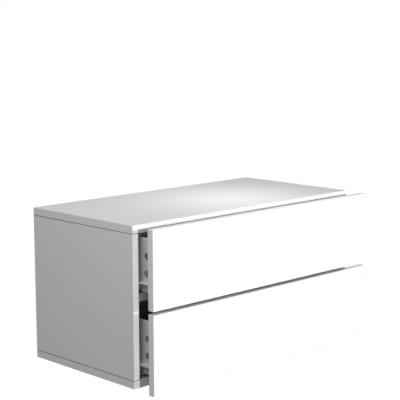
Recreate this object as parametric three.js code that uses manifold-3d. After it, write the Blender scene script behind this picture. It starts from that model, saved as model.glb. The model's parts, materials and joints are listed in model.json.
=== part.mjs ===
// Floating nightstand: a wall-hung cabinet with two handleless drawers, both pulled a little
// way open. Millimetres, +X to the right along the front, +Y towards the wall, +Z up.
// The origin is the middle of the wall rail's back face, in the plane of the wall.

import * as THREE from 'three';
import { mergeVertices } from 'three/addons/utils/BufferGeometryUtils.js';
import { RoundedBoxGeometry } from 'three/addons/geometries/RoundedBoxGeometry.js';
import Module from 'manifold-3d';

const wasm = await Module();
wasm.setup();

// Fits: boards drawn tight together, pieces in a socket or on a shaft, and how far a cutter
// runs past the face that it opens.
const hairline = 0.05;
const seat = 0.3;
const overrun = 1;

// Facets: sides of a round piece and of a thin shaft, steps in a sheet metal bend and in a
// board's soft edge.
const roundSides = 16;
const shaftSides = 10;
const bendSteps = 2;
const edgeSteps = 1;

// Carcass boards: the top and bottom lie across the ends of the two sides.
const carcassWidth = 714;
const carcassHeight = 356;
const carcassDepth = 346;
const topThickness = 18;
const bottomThickness = 18;
const sideThickness = 16;
const edgeRadius = 0.8;
const innerWidth = carcassWidth - 2 * sideThickness;
const sidePanelHeight = carcassHeight - topThickness - bottomThickness - 2 * hairline;
const sidePanelBottom = bottomThickness + hairline;

// Thin back panel, held in a groove round the carcass, and its windows for the hooks.
const backThickness = 3;
const backInset = 18;
const grooveDepth = 8;
const grooveWidth = backThickness + 2 * seat;
const grooveStart = carcassDepth - backInset - grooveWidth;
const backPanelBottom = bottomThickness - grooveDepth + seat;
const backPanelHeight = carcassHeight - topThickness + grooveDepth - seat - backPanelBottom;
const windowMargin = 5;

// Heights of the two drawers, from the carcass underside to the lower edge of their sides.
const runnerLift = 10.8;
const bayOffset = 20;
const headroom = 11.2;
const lowerDrawerHeight = bottomThickness + runnerLift;
const upperDrawerHeight = lowerDrawerHeight + sidePanelHeight / 2 + bayOffset;

// Front rail between the drawers.
const railThickness = 16;
const railDepth = 100;
const railGap = 2.5;
const railUnderside = upperDrawerHeight - railGap - railThickness;
const railCamFromRear = 32;
const railDowelFromFront = 28;
const railBoltHeight = railUnderside + railThickness / 2;

// Drawer fronts: they cover the whole face of the carcass, with a gap at half height.
const frontThickness = 16.8;
const frontEdgeRadius = 1;
const frontInset = 0.5;
const frontDrop = 3;
const frontTopInset = 1;
const frontGap = 6;
const drawerOpening = 46.3;
const closedGap = 2.5;

// Sheet steel drawer sides. Sections of the side and the runner share one frame: x from the
// inner face of the side panel, z from the lower edge of the drawer side. The heights of the two
// front holes are shares of the web above the ledge.
const sheet = 1.2;
const bend = 1.6;
const rearRoom = 27.5;
const sideLength = carcassDepth + closedGap - backInset - backThickness - rearRoom;
const sideHeight = carcassHeight - topThickness - headroom - upperDrawerHeight;
const runnerSpace = 13.9;
const topFlange = 7.6;
const topReturn = 4.2;
const bottomFlange = 15;
const ledgeHeight = 22;
const ledgeGap = 1.5;
const ledgeLip = 2.5;
const rearTabWidth = 16;
const holeDiameter = 16;
const holeSetback = 36.6;
const holeHeightShares = [0.198, 0.59];
const holeHeights = holeHeightShares.map((share) => ledgeHeight + share * (sideHeight - ledgeHeight));

// Runners screwed to the side panels, with their front rollers, and the rear rollers that run
// inside them on the drawer sides.
const runnerSetback = 2;
const runnerBase = 1;
const runnerReach = 11.4;
const runnerLip = 3.2;
const runnerTopGap = 0.6;
const runnerTop = ledgeHeight - sheet - ledgeLip - runnerTopGap;
const rollerInset = 3.4;
const rollerLipGap = 0.8;
const rollerFloorGap = 1.3;
const rollerWidth = runnerReach - sheet - rollerLipGap - rollerInset;
const frontRollerSetback = 14;
const rearRollerSetback = 12;
const frontRollerDiameter = ledgeHeight - 2 * sheet - seat - runnerBase - rollerFloorGap;
const rearRollerDiameter = runnerTop - runnerBase - 2 * sheet - 2 * seat;
const frontRollerAxis = ledgeHeight - sheet - seat - frontRollerDiameter / 2;
const rearRollerAxis = runnerBase + sheet + seat + rearRollerDiameter / 2;
const rollerHub = 1.6;
const rollerTyre = 1.8;
const rollerRecess = 1;
const rollerRound = 0.6;
const rollerWindowEnd = 4;
const axleDiameter = 4;
const axleHeadDiameter = 6.4;
const axleHeadThickness = 0.8;
const keptInside = 90;
const fullTravel = sideLength - keptInside;
const rearRollerClosed = sideLength - rearRollerSetback - closedGap - runnerSetback;
const stopTabDrop = 4.6;
const runnerScrewDiameter = 7;
const runnerScrewProud = 0.6;
const runnerScrewStart = 37;
const runnerScrewSpacing = 96;
const runnerScrewCount = 3;

// Drawer boxes: a bottom board lying on the flanges of the sides, and a back board on it.
const drawerBoard = 16;
const drawerBoardPlay = 0.4;
const drawerBackDrop = 16.85;
const drawerBackTop = sideHeight - drawerBackDrop;
const drawerBackHeight = drawerBackTop - sheet - drawerBoard;
const drawerBoxWidth = innerWidth - 2 * (runnerSpace + sheet + drawerBoardPlay);

// Brackets that hold each front on the sides: a plate on the front, a tongue along the side,
// and two round adjusters that show through the holes of the side.
const bracketThickness = 2;
const bracketPlateWidth = 24;
const bracketEnd = 17;
const bracketTongue = 52;
const adjusterDiameter = 13;
const adjusterRecess = 0.4;
const adjusterSlot = 2;
const adjusterSlotDepth = 0.8;
const bracketScrewDiameter = 8;
const bracketScrewProud = 1.2;
const bracketScrewInset = 12;

// Cam fittings that draw the boards together: a round cam in a pocket and its bolt.
const camDiameter = 15;
const camDepth = 12.5;
const camInset = 24;
const camFromFront = 45;
const camFromRear = 65;
const camSlot = 1.6;
const camSlotDepth = 2;
const boltDiameter = 6.4;
const boltGrip = 11;
const threadDiameter = 5;

// Dowels beside the cam fittings, which keep each joint from turning.
const dowelDiameter = 8;
const dowelLength = 30;
const dowelGrip = 11;
const dowelChamfer = 1;

// Push latches drilled into the front edges of the rail and the bottom panel.
const latchDiameter = 10;
const latchLength = 50;
const latchWall = 1.7;
const latchFlangeDiameter = 13;
const latchFlangeThickness = 0.8;
const plungerLength = 40;
const plungerDome = 1.5;

// Wall rail, and the hangers inside the top corners that hook over it.
const wallRailThickness = 2;
const wallRailFlat = 24;
const wallRailJog = 4;
const wallRailLip = 10;
const wallRailEndGap = 8;
const wallSlotWidth = 6.5;
const wallSlotLength = 14;
const wallSlotSpacing = 96;
const wallSlotCount = 6;
const hookThickness = 2.5;
const hookWidth = 24;
const hookWallGap = 0.5;
const hookTipGap = 2;
const hookBend = 2.1;
const hookSocket = 8;
const hangerWidth = 60;
const hangerHeight = 62;
const hangerDepth = 18;
const hangerEdgeRadius = 2;
const hangerArmDrop = 14;
const hangerScrewDiameter = 9;
const hangerScrewInset = 16;
const hangerScrewRecess = 2;
const hangerScrewRim = 1;
const pegDiameter = 8;
const pegLength = 10;
const pegInset = 15;

// Places that several pieces share.
const hookArmHeight = carcassHeight - topThickness - hangerArmDrop - hookThickness / 2;
const wallRailHeight = wallRailFlat + wallRailJog + wallRailLip;
const wallRailBottom = hookArmHeight - hookThickness / 2 - seat - wallRailHeight;
const wallFaceHeight = wallRailBottom + wallRailFlat / 2;
const hookCentre = innerWidth / 2 - hangerWidth / 2;
const hangerTop = carcassHeight - topThickness - seat;
const hangerRear = grooveStart;
const pegHeights = [hangerTop - pegInset, hangerTop - hangerHeight + pegInset];
const camRows = [camFromFront, carcassDepth - camFromRear];
const dowelRow = (camFromFront + carcassDepth - camFromRear) / 2;
const railCamRow = railDepth - railCamFromRear;

// Finishes, as colour, roughness and metalness.
const finishes = {
  board: { color: 0xf3f4f6, roughness: 0.32, metalness: 0 },
  front: { color: 0xfbfbfb, roughness: 0.25, metalness: 0 },
  back: { color: 0xe9e9e7, roughness: 0.6, metalness: 0 },
  coatedSteel: { color: 0x9c9b96, roughness: 0.42, metalness: 0.55 },
  zincSteel: { color: 0xb9bcc0, roughness: 0.38, metalness: 0.9 },
  nylon: { color: 0xe4e2da, roughness: 0.5, metalness: 0 },
  castZinc: { color: 0xa7a9ab, roughness: 0.45, metalness: 0.8 },
  greyPlastic: { color: 0x8c8e90, roughness: 0.55, metalness: 0 },
  beech: { color: 0xd6b98c, roughness: 0.75, metalness: 0 },
};

// Merged, position-only copy of a geometry, so that a closed surface shares its vertices.
function weld(geometry) {
  const bare = new THREE.BufferGeometry();
  bare.setAttribute('position', geometry.getAttribute('position').clone());
  if (geometry.index) bare.setIndex(geometry.index.clone());
  const merged = mergeVertices(bare);
  const corners = merged.index.array;
  const kept = [];
  for (let i = 0; i < corners.length; i += 3) {
    const [a, b, c] = corners.subarray(i, i + 3);
    if (a !== b && b !== c && c !== a) kept.push(a, b, c);
  }
  merged.setIndex(kept);
  return merged;
}

function toSolid(geometry) {
  const welded = weld(geometry);
  return new wasm.Manifold(new wasm.Mesh({
    numProp: 3,
    vertProperties: new Float32Array(welded.getAttribute('position').array),
    triVerts: new Uint32Array(welded.index.array),
  }));
}

function toGeometry(solid) {
  const { vertProperties, triVerts } = solid.getMesh();
  const geometry = new THREE.BufferGeometry();
  geometry.setAttribute('position', new THREE.BufferAttribute(vertProperties, 3));
  geometry.setIndex(new THREE.BufferAttribute(triVerts, 1));
  return geometry;
}

function join(...pieces) {
  return toGeometry(pieces.map(toSolid).reduce((whole, piece) => whole.add(piece)));
}

function cut(body, ...tools) {
  return toGeometry(tools.map(toSolid).reduce((rest, tool) => rest.subtract(tool), toSolid(body)));
}

// Left-hand piece turned into its right-hand twin: mirrored in X, with its faces turned back out.
function mirrored(geometry) {
  const twin = weld(geometry).scale(-1, 1, 1);
  const index = twin.index;
  for (let corner = 0; corner < index.count; corner += 3) {
    const first = index.getX(corner);
    index.setX(corner, index.getX(corner + 1));
    index.setX(corner + 1, first);
  }
  return twin;
}

// Plain block between two values on each axis.
function block([x0, x1], [y0, y1], [z0, z1]) {
  const box = new THREE.BoxGeometry(x1 - x0, y1 - y0, z1 - z0);
  return box.translate((x0 + x1) / 2, (y0 + y1) / 2, (z0 + z1) / 2);
}

// Board or moulding with softened edges between two values on each axis.
function board([x0, x1], [y0, y1], [z0, z1], radius = edgeRadius) {
  const box = new RoundedBoxGeometry(x1 - x0, y1 - y0, z1 - z0, edgeSteps, radius);
  return box.translate((x0 + x1) / 2, (y0 + y1) / 2, (z0 + z1) / 2);
}

const towards = {
  left: new THREE.Vector3(-1, 0, 0),
  right: new THREE.Vector3(1, 0, 0),
  front: new THREE.Vector3(0, -1, 0),
  wall: new THREE.Vector3(0, 1, 0),
  up: new THREE.Vector3(0, 0, 1),
  down: new THREE.Vector3(0, 0, -1),
};

// Turns a geometry that was made along +Y to point another way, and moves its start there.
function aim(geometry, direction, [x, y, z]) {
  const turn = new THREE.Quaternion().setFromUnitVectors(towards.wall, direction);
  return geometry.applyQuaternion(turn).translate(x, y, z);
}

// Round rod of one diameter from a starting point, in one direction.
function rod(diameter, length, direction, start, sides = roundSides) {
  const cylinder = new THREE.CylinderGeometry(diameter / 2, diameter / 2, length, sides);
  return aim(cylinder.translate(0, length / 2, 0), direction, start);
}

// Riveted axle with its head beyond a given reach from the start.
function rivet(direction, start, reach) {
  const headStart = direction.clone().multiplyScalar(reach).add(new THREE.Vector3(...start));
  const pin = rod(axleDiameter, reach + axleHeadThickness / 2, direction, start, shaftSides);
  const head = rod(axleHeadDiameter, axleHeadThickness, direction, headStart.toArray(), shaftSides);
  return join(pin, head);
}

// Turned piece: its profile is a list of [radius, distance along the axis].
function turned(profile, direction, start, sides = roundSides) {
  const points = profile.map(([radius, along]) => new THREE.Vector2(radius, along));
  return aim(new THREE.LatheGeometry(points, sides), direction, start);
}

// Section of a bent sheet: a centreline of straight runs, rounded at each bend and given a
// thickness.
function sheetSection(corners, thickness, bendLength) {
  const line = corners.flatMap((corner, i) => {
    const here = new THREE.Vector2(...corner);
    if (i === 0 || i === corners.length - 1) return [here];
    const start = new THREE.Vector2(...corners[i - 1]).sub(here).setLength(bendLength).add(here);
    const end = new THREE.Vector2(...corners[i + 1]).sub(here).setLength(bendLength).add(here);
    return new THREE.QuadraticBezierCurve(start, here, end).getPoints(bendSteps);
  });
  const faces = [[], []];
  line.forEach((point, i) => {
    const before = point.clone().sub(line[Math.max(i - 1, 0)]).normalize();
    const after = line[Math.min(i + 1, line.length - 1)].clone().sub(point).normalize();
    const along = before.clone().add(after).normalize();
    const across = new THREE.Vector2(-along.y, along.x);
    const run = before.lengthSq() > 0 ? before : after;
    const reach = thickness / 2 / along.dot(run);
    faces[0].push(point.clone().addScaledVector(across, reach));
    faces[1].unshift(point.clone().addScaledVector(across, -reach));
  });
  return new THREE.Shape([...faces[0], ...faces[1]]);
}

// Section in X and Z, drawn out along +Y from zero.
function drawnAlongY(section, length) {
  const geometry = new THREE.ExtrudeGeometry(section, { depth: length, bevelEnabled: false });
  return geometry.rotateX(Math.PI / 2).translate(0, length, 0);
}

// Section in Y and Z, drawn out along X with its middle at zero.
function drawnAlongX(section, length) {
  const geometry = new THREE.ExtrudeGeometry(section, { depth: length, bevelEnabled: false });
  const turn = new THREE.Matrix4().makeBasis(towards.wall, towards.up, towards.right);
  return geometry.applyMatrix4(turn).translate(-length / 2, 0, 0);
}

// Cam fitting for a board of a given thickness. Its cam fills a pocket that opens towards +X,
// with the board's face at x = 0, and its bolt runs up into the next board.
function camFitting(thickness) {
  const camFace = -seat;
  const start = [-thickness / 2, 0, 0];
  const cam = rod(camDiameter - 2 * seat, camDepth - 2 * seat, towards.left, [camFace, 0, 0]);
  const bolt = rod(boltDiameter, camInset, towards.up, start, shaftSides);
  const thread = rod(threadDiameter, camInset + boltGrip - seat, towards.up, start, shaftSides);
  const slotEnds = [-camDiameter / 4, camDiameter / 4];
  const slotSides = [-camSlot / 2, camSlot / 2];
  const slotFloor = [camFace - camSlotDepth, camFace + overrun];
  return cut(
    join(cam, bolt, thread),
    block(slotFloor, slotEnds, slotSides),
    block(slotFloor, slotSides, slotEnds),
  );
}

// What the same fitting needs in its own board, and in the board that its bolt grips.
function camPocket(thickness) {
  const pocket = rod(camDiameter, camDepth + overrun, towards.left, [overrun, 0, 0]);
  const holeLength = camInset + overrun;
  const boltHole = rod(boltDiameter + 2 * seat, holeLength, towards.up, [-thickness / 2, 0, 0], shaftSides);
  return join(pocket, boltHole);
}

function threadHole(direction, [x, y, z]) {
  const start = new THREE.Vector3(x, y, z).addScaledVector(direction, -overrun);
  return rod(threadDiameter + 2 * seat, boltGrip + overrun, direction, start.toArray(), shaftSides);
}

// Dowel across a joint at zero: it grips the next board in a given direction.
function dowel(direction) {
  const radius = dowelDiameter / 2;
  const near = dowelGrip - dowelLength;
  return turned([
    [0, near],
    [radius - dowelChamfer, near],
    [radius, near + dowelChamfer],
    [radius, dowelGrip - dowelChamfer],
    [radius - dowelChamfer, dowelGrip],
    [0, dowelGrip],
  ], direction, [0, 0, 0], shaftSides);
}

// Its hole through both boards, from the place of the joint.
function dowelHole(direction, [x, y, z]) {
  const start = new THREE.Vector3(x, y, z).addScaledVector(direction, dowelGrip - dowelLength - seat);
  return rod(dowelDiameter + 2 * seat, dowelLength + 2 * seat, direction, start.toArray(), shaftSides);
}

// Side panel, left hand: x from its outer face, y from its front edge, z from its lower edge.
function sidePanel() {
  const blank = board([0, sideThickness], [0, carcassDepth], [0, sidePanelHeight]);
  const groove = block(
    [sideThickness - grooveDepth, sideThickness + overrun],
    [grooveStart, grooveStart + grooveWidth],
    [-overrun, sidePanelHeight + overrun],
  );
  const upperPockets = camRows.map((y) =>
    camPocket(sideThickness).translate(sideThickness, y, sidePanelHeight - camInset));
  const lowerPockets = camRows.map((y) =>
    camPocket(sideThickness).rotateX(Math.PI).translate(sideThickness, y, camInset));
  const railHeight = railBoltHeight - sidePanelBottom;
  const railHole = threadHole(towards.left, [sideThickness, railCamRow, railHeight]);
  const dowelHoles = [
    dowelHole(towards.up, [sideThickness / 2, dowelRow, sidePanelHeight]),
    dowelHole(towards.down, [sideThickness / 2, dowelRow, 0]),
    dowelHole(towards.left, [sideThickness, railDowelFromFront, railHeight]),
  ];
  const pegHoles = pegHeights.map((height) => rod(
    pegDiameter + 2 * seat,
    pegLength + seat + overrun,
    towards.left,
    [sideThickness + overrun, hangerRear - hangerDepth / 2, height - sidePanelBottom],
    shaftSides,
  ));
  return cut(blank, groove, ...upperPockets, ...lowerPockets, railHole, ...dowelHoles, ...pegHoles);
}

// Top or bottom panel with its worked face down: x from the middle, y from the front edge, z
// from the worked face.
function coverPanel(thickness) {
  const half = carcassWidth / 2;
  const grooveHalf = innerWidth / 2 + grooveDepth;
  const blank = board([-half, half], [0, carcassDepth], [0, thickness]);
  const groove = block(
    [-grooveHalf, grooveHalf],
    [grooveStart, grooveStart + grooveWidth],
    [-overrun, grooveDepth],
  );
  const jointHoles = [-1, 1].flatMap((hand) => {
    const x = hand * (half - sideThickness / 2);
    const boltHoles = camRows.map((y) => threadHole(towards.up, [x, y, 0]));
    return [...boltHoles, dowelHole(towards.up, [x, dowelRow, 0])];
  });
  return cut(blank, groove, ...jointHoles);
}

// Hole for a push latch, from a front edge towards the wall.
function latchHole(height) {
  const diameter = latchDiameter + 2 * seat;
  return rod(diameter, latchLength + seat + overrun, towards.wall, [0, -overrun, height]);
}

// The bottom panel is a cover panel turned over, with the lower push latch in its front edge.
function bottomPanel() {
  const turnedOver = coverPanel(bottomThickness).rotateY(Math.PI).translate(0, 0, bottomThickness);
  return cut(turnedOver, latchHole(bottomThickness / 2));
}

// Front rail: x from the middle, y from the front edge, z from its underside.
function midRail() {
  const half = innerWidth / 2 - hairline;
  const blank = board([-half, half], [0, railDepth], [0, railThickness]);
  const pocket = railCam(camPocket(railThickness));
  const peg = dowelHole(towards.left, [-innerWidth / 2, railDowelFromFront, railThickness / 2]);
  return cut(blank, pocket, mirrored(pocket), peg, mirrored(peg), latchHole(railThickness / 2));
}

// Lays a cam piece into the rail's underside near its left end, with the bolt to the left.
function railCam(geometry) {
  const turn = new THREE.Matrix4().makeBasis(towards.down, towards.front, towards.left);
  return geometry.applyMatrix4(turn).translate(camInset - innerWidth / 2, railCamRow, 0);
}

// Back panel: x from the middle, y from its front face, z from its lower edge.
function backPanel() {
  const half = innerWidth / 2 + grooveDepth - seat;
  const height = backPanelHeight;
  const blank = block([-half, half], [0, backThickness], [0, height]);
  const windowHalf = hookWidth / 2 + windowMargin;
  const armHalf = hookThickness / 2 + windowMargin;
  const armHeight = hookArmHeight - backPanelBottom;
  const windows = [-1, 1].map((hand) => block(
    [hand * hookCentre - windowHalf, hand * hookCentre + windowHalf],
    [-overrun, backThickness + overrun],
    [armHeight - armHalf, armHeight + armHalf],
  ));
  return cut(blank, ...windows);
}

// Wall rail: x from the middle, y from the wall, z from its lower edge.
function wallRail() {
  const flat = -wallRailThickness / 2;
  const lip = -hookWallGap - hookThickness - seat - wallRailThickness / 2;
  const stepTop = wallRailFlat + wallRailJog;
  const line = [[flat, 0], [flat, wallRailFlat], [lip, stepTop], [lip, wallRailHeight]];
  const length = innerWidth - 2 * wallRailEndGap;
  const strip = drawnAlongX(sheetSection(line, wallRailThickness, wallRailThickness / 2), length);
  const slots = Array.from({ length: wallSlotCount }, (_, i) => {
    const x = (i - (wallSlotCount - 1) / 2) * wallSlotSpacing;
    const ends = (wallSlotLength - wallSlotWidth) / 2;
    const through = [-wallRailThickness - overrun, overrun];
    const rounds = [x - ends, x + ends].map((place) => rod(
      wallSlotWidth,
      wallRailThickness + 2 * overrun,
      towards.wall,
      [place, through[0], wallRailFlat / 2],
      shaftSides,
    ));
    const middle = [(wallRailFlat - wallSlotWidth) / 2, (wallRailFlat + wallSlotWidth) / 2];
    return join(block([x - ends, x + ends], through, middle), ...rounds);
  });
  return cut(strip, ...slots);
}

// Hook over the rail: x from its middle, y from the wall, z from the arm's centreline.
function hangerHook() {
  const tongue = -hookWallGap - hookThickness / 2;
  const armFront = hangerRear - carcassDepth - hookSocket + seat;
  const tip = -hookThickness / 2 - wallRailLip + hookTipGap;
  const line = [[armFront, 0], [tongue, 0], [tongue, tip]];
  return drawnAlongX(sheetSection(line, hookThickness, hookBend), hookWidth);
}

// Hanger housing, left hand: x from the side panel, y from its rear face, z from its top.
function hangerBody() {
  const housing = board(
    [0, hangerWidth], [-hangerDepth, 0], [-hangerHeight, 0], hangerEdgeRadius,
  );
  const pegs = pegHeights.map((height) => rod(
    pegDiameter,
    pegLength + hangerEdgeRadius,
    towards.left,
    [hangerEdgeRadius, -hangerDepth / 2, height - hangerTop],
    shaftSides,
  ));
  const armHalf = hookThickness / 2 + seat;
  const armHeight = hookArmHeight - hangerTop;
  const socketHalf = hookWidth / 2 + seat;
  const socket = block(
    [hangerWidth / 2 - socketHalf, hangerWidth / 2 + socketHalf],
    [-hookSocket, overrun],
    [armHeight - armHalf, armHeight + armHalf],
  );
  const screws = [hangerScrewInset, hangerWidth - hangerScrewInset].map((x) => {
    const floor = -hangerDepth + hangerScrewRecess;
    const head = hangerScrewDiameter / 2 - hangerScrewRim;
    const slotReach = head + hangerScrewRim / 2;
    const ring = turned([
      [head, 0],
      [hangerScrewDiameter / 2, 0],
      [hangerScrewDiameter / 2, hangerScrewRecess + overrun],
      [head, hangerScrewRecess + overrun],
      [head, 0],
    ], towards.front, [x, floor, -hangerHeight / 2]);
    const slot = block(
      [x - slotReach, x + slotReach],
      [-hangerDepth - overrun, floor],
      [-hangerHeight / 2 - camSlot / 2, -hangerHeight / 2 + camSlot / 2],
    );
    return join(ring, slot);
  });
  return cut(join(housing, ...pegs), socket, ...screws);
}

// Runner, left hand: x from the side panel, y from its front end, z from the lower edge of the
// drawer side. A channel with its front roller's axle, screw heads and the stop tab.
function runner() {
  const centre = sheet / 2;
  const lipLine = runnerReach - centre;
  const floorLine = runnerBase + centre;
  const topLine = runnerTop - centre;
  const line = [
    [lipLine, runnerBase + runnerLip],
    [lipLine, floorLine],
    [centre, floorLine],
    [centre, topLine],
    [lipLine, topLine],
  ];
  const channel = drawnAlongY(sheetSection(line, sheet, bend), sideLength);
  const rollerPlace = frontRollerSetback - runnerSetback;
  const windowEnd = rollerPlace + frontRollerDiameter / 2 + rollerWindowEnd;
  const rollerWindow = block(
    [sheet, runnerReach + overrun],
    [-overrun, windowEnd],
    [frontRollerAxis, runnerTop + overrun],
  );
  const axleReach = rollerInset + rollerWidth + seat - centre;
  const axle = rivet(towards.right, [centre, rollerPlace, frontRollerAxis], axleReach);
  const screws = Array.from({ length: runnerScrewCount }, (_, i) => rod(
    runnerScrewDiameter,
    centre + runnerScrewProud,
    towards.right,
    [centre, runnerScrewStart + i * runnerScrewSpacing, rearRollerAxis],
    shaftSides,
  ));
  const rearRollerOpen = rearRollerClosed - fullTravel;
  const stopEnd = rearRollerOpen - rearRollerDiameter / 2 - seat;
  const stopTab = block(
    [rollerInset, rollerInset + rollerWidth],
    [stopEnd - sheet, stopEnd],
    [topLine - stopTabDrop, topLine],
  );
  return join(cut(channel, rollerWindow), axle, ...screws, stopTab);
}

// Roller: a tyre and a hub on a thin disc, from x = 0 to its width, round its own axis.
function roller(diameter) {
  const bore = axleDiameter / 2 + seat;
  const hub = bore + rollerHub;
  const rim = diameter / 2;
  return turned([
    [bore, 0],
    [hub, 0],
    [hub, rollerRecess],
    [rim - rollerTyre, rollerRecess],
    [rim - rollerTyre, 0],
    [rim - rollerRound, 0],
    [rim, rollerRound],
    [rim, rollerWidth - rollerRound],
    [rim - rollerRound, rollerWidth],
    [bore, rollerWidth],
    [bore, 0],
  ], towards.right, [0, 0, 0]);
}

// Drawer side, left hand: x from the side panel, y from its front end, z from its lower edge.
// Bent sheet with a running ledge for the front roller and an axle for the rear one.
function drawerSide() {
  const web = runnerSpace + sheet / 2;
  const flangeEnd = runnerSpace + topFlange;
  const top = sideHeight - sheet / 2;
  const main = sheetSection([
    [flangeEnd, sideHeight - topReturn],
    [flangeEnd, top],
    [web, top],
    [web, sheet / 2],
    [runnerSpace + bottomFlange, sheet / 2],
  ], sheet, bend);
  const ledgeLine = ledgeHeight - sheet / 2;
  const ledge = sheetSection([
    [web, ledgeLine],
    [ledgeGap + sheet / 2, ledgeLine],
    [ledgeGap + sheet / 2, ledgeHeight - sheet - ledgeLip],
  ], sheet, bend);
  const rearTab = block(
    [web, runnerSpace + rearTabWidth],
    [sideLength - sheet, sideLength],
    [sheet + drawerBoard, drawerBackTop],
  );
  const axlePlace = sideLength - rearRollerSetback;
  const axleEnd = rollerInset - seat;
  const axle = rivet(towards.left, [web, axlePlace, rearRollerAxis], web - axleEnd);
  const holes = holeHeights.map((height) => rod(
    holeDiameter,
    sheet + 2 * overrun,
    towards.right,
    [runnerSpace - overrun, holeSetback, height],
  ));
  const folded = join(drawnAlongY(main, sideLength), drawnAlongY(ledge, sideLength), rearTab, axle);
  return cut(folded, ...holes);
}

// Front bracket, left hand, in the same frame as its drawer side.
function frontBracket() {
  const inner = runnerSpace + sheet + seat;
  const tongueBack = inner + bracketThickness;
  const heights = [Math.min(...holeHeights) - bracketEnd, Math.max(...holeHeights) + bracketEnd];
  const plate = block([inner, inner + bracketPlateWidth], [hairline, bracketThickness], heights);
  const tongue = block([inner, tongueBack], [hairline, bracketTongue], heights);
  const adjusters = holeHeights.map((height) => rod(
    adjusterDiameter,
    tongueBack - runnerSpace - adjusterRecess,
    towards.right,
    [runnerSpace + adjusterRecess, holeSetback, height],
  ));
  const slots = holeHeights.map((height) => block(
    [runnerSpace - overrun, runnerSpace + adjusterRecess + adjusterSlotDepth],
    [holeSetback - adjusterDiameter / 2 - overrun, holeSetback + adjusterDiameter / 2 + overrun],
    [height - adjusterSlot / 2, height + adjusterSlot / 2],
  ));
  const screwHeights = [heights[0] + bracketScrewInset, heights[1] - bracketScrewInset];
  const screws = screwHeights.map((height) => rod(
    bracketScrewDiameter,
    bracketThickness / 2 + bracketScrewProud,
    towards.wall,
    [inner + bracketPlateWidth - bracketScrewInset, bracketThickness / 2, height],
    shaftSides,
  ));
  return cut(join(plate, tongue, ...adjusters, ...screws), ...slots);
}

// Drawer front: x from the middle, y up to its back face at zero, z from its lower edge.
function drawerFront(height) {
  const half = carcassWidth / 2 - frontInset;
  return board([-half, half], [-frontThickness, 0], [0, height], frontEdgeRadius);
}

function drawerBottom() {
  const half = drawerBoxWidth / 2;
  return board([-half, half], [hairline, sideLength - sheet - hairline], [0, drawerBoard]);
}

function drawerBack() {
  const half = drawerBoxWidth / 2;
  return board([-half, half], [-drawerBoard, 0], [0, drawerBackHeight]);
}

// Push latch sleeve: y from the board's front edge, in its own axis.
function latchSleeve() {
  const outer = latchDiameter / 2;
  const bore = outer - latchWall;
  return turned([
    [bore, -latchFlangeThickness],
    [latchFlangeDiameter / 2, -latchFlangeThickness],
    [latchFlangeDiameter / 2, -hairline],
    [outer, -hairline],
    [outer, latchLength],
    [0, latchLength],
    [0, latchLength - latchWall],
    [bore, latchLength - latchWall],
    [bore, -latchFlangeThickness],
  ], towards.wall, [0, 0, 0]);
}

// Plunger with a domed tip that stops just short of the closed front.
function latchPlunger() {
  const radius = latchDiameter / 2 - latchWall - seat;
  const tip = -closedGap + seat;
  return turned([
    [0, tip],
    [radius / 2, tip + plungerDome / 4],
    [radius, tip + plungerDome],
    [radius, tip + plungerLength],
    [0, tip + plungerLength],
  ], towards.wall, [0, 0, 0]);
}

const nightstand = new THREE.Group();

function add(parent, name, geometry, finish, [x, y, z]) {
  const material = new THREE.MeshStandardMaterial({ ...finishes[finish], flatShading: true });
  const mesh = new THREE.Mesh(weld(geometry), material);
  mesh.name = name;
  mesh.position.set(x, y, z);
  parent.add(mesh);
}

// Adds a left-hand piece and its mirrored right-hand twin; the name holds SIDE for the hand.
function addPair(parent, name, geometry, finish, [x, y, z]) {
  add(parent, name.replace('SIDE', 'left'), geometry, finish, [x, y, z]);
  add(parent, name.replace('SIDE', 'right'), mirrored(geometry), finish, [-x, y, z]);
}

const carcass = new THREE.Group();
carcass.position.y = -carcassDepth;
nightstand.add(carcass);

const left = -innerWidth / 2;
add(carcass, 'top_panel', coverPanel(topThickness), 'board', [0, 0, carcassHeight - topThickness]);
add(carcass, 'bottom_panel', bottomPanel(), 'board', [0, 0, 0]);
addPair(carcass, 'SIDE_side_panel', sidePanel(), 'board', [-carcassWidth / 2, 0, sidePanelBottom]);
add(carcass, 'back_panel', backPanel(), 'back', [0, grooveStart + seat, backPanelBottom]);
add(carcass, 'mid_rail', midRail(), 'board', [0, 0, railUnderside]);

camRows.forEach((y, row) => {
  const place = ['front', 'rear'][row];
  const upper = camFitting(sideThickness);
  const lower = camFitting(sideThickness).rotateX(Math.PI);
  const upperHeight = carcassHeight - topThickness - hairline - camInset;
  const lowerHeight = bottomThickness + hairline + camInset;
  addPair(carcass, `SIDE_upper_${place}_cam`, upper, 'castZinc', [left, y, upperHeight]);
  addPair(carcass, `SIDE_lower_${place}_cam`, lower, 'castZinc', [left, y, lowerHeight]);
});
addPair(carcass, 'SIDE_rail_cam', railCam(camFitting(railThickness)), 'castZinc', [0, 0, railUnderside]);

const middle = (sideThickness - carcassWidth) / 2;
const underTop = carcassHeight - topThickness;
addPair(carcass, 'SIDE_upper_dowel', dowel(towards.up), 'beech', [middle, dowelRow, underTop]);
addPair(carcass, 'SIDE_lower_dowel', dowel(towards.down), 'beech', [middle, dowelRow, bottomThickness]);
addPair(carcass, 'SIDE_rail_dowel', dowel(towards.left), 'beech', [left, railDowelFromFront, railBoltHeight]);

add(carcass, 'wall_rail', wallRail(), 'zincSteel', [0, carcassDepth, wallRailBottom]);
addPair(carcass, 'SIDE_hanger', hangerBody(), 'greyPlastic', [left, hangerRear, hangerTop]);
addPair(carcass, 'SIDE_hanger_hook', hangerHook(), 'zincSteel', [-hookCentre, carcassDepth, hookArmHeight]);

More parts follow.
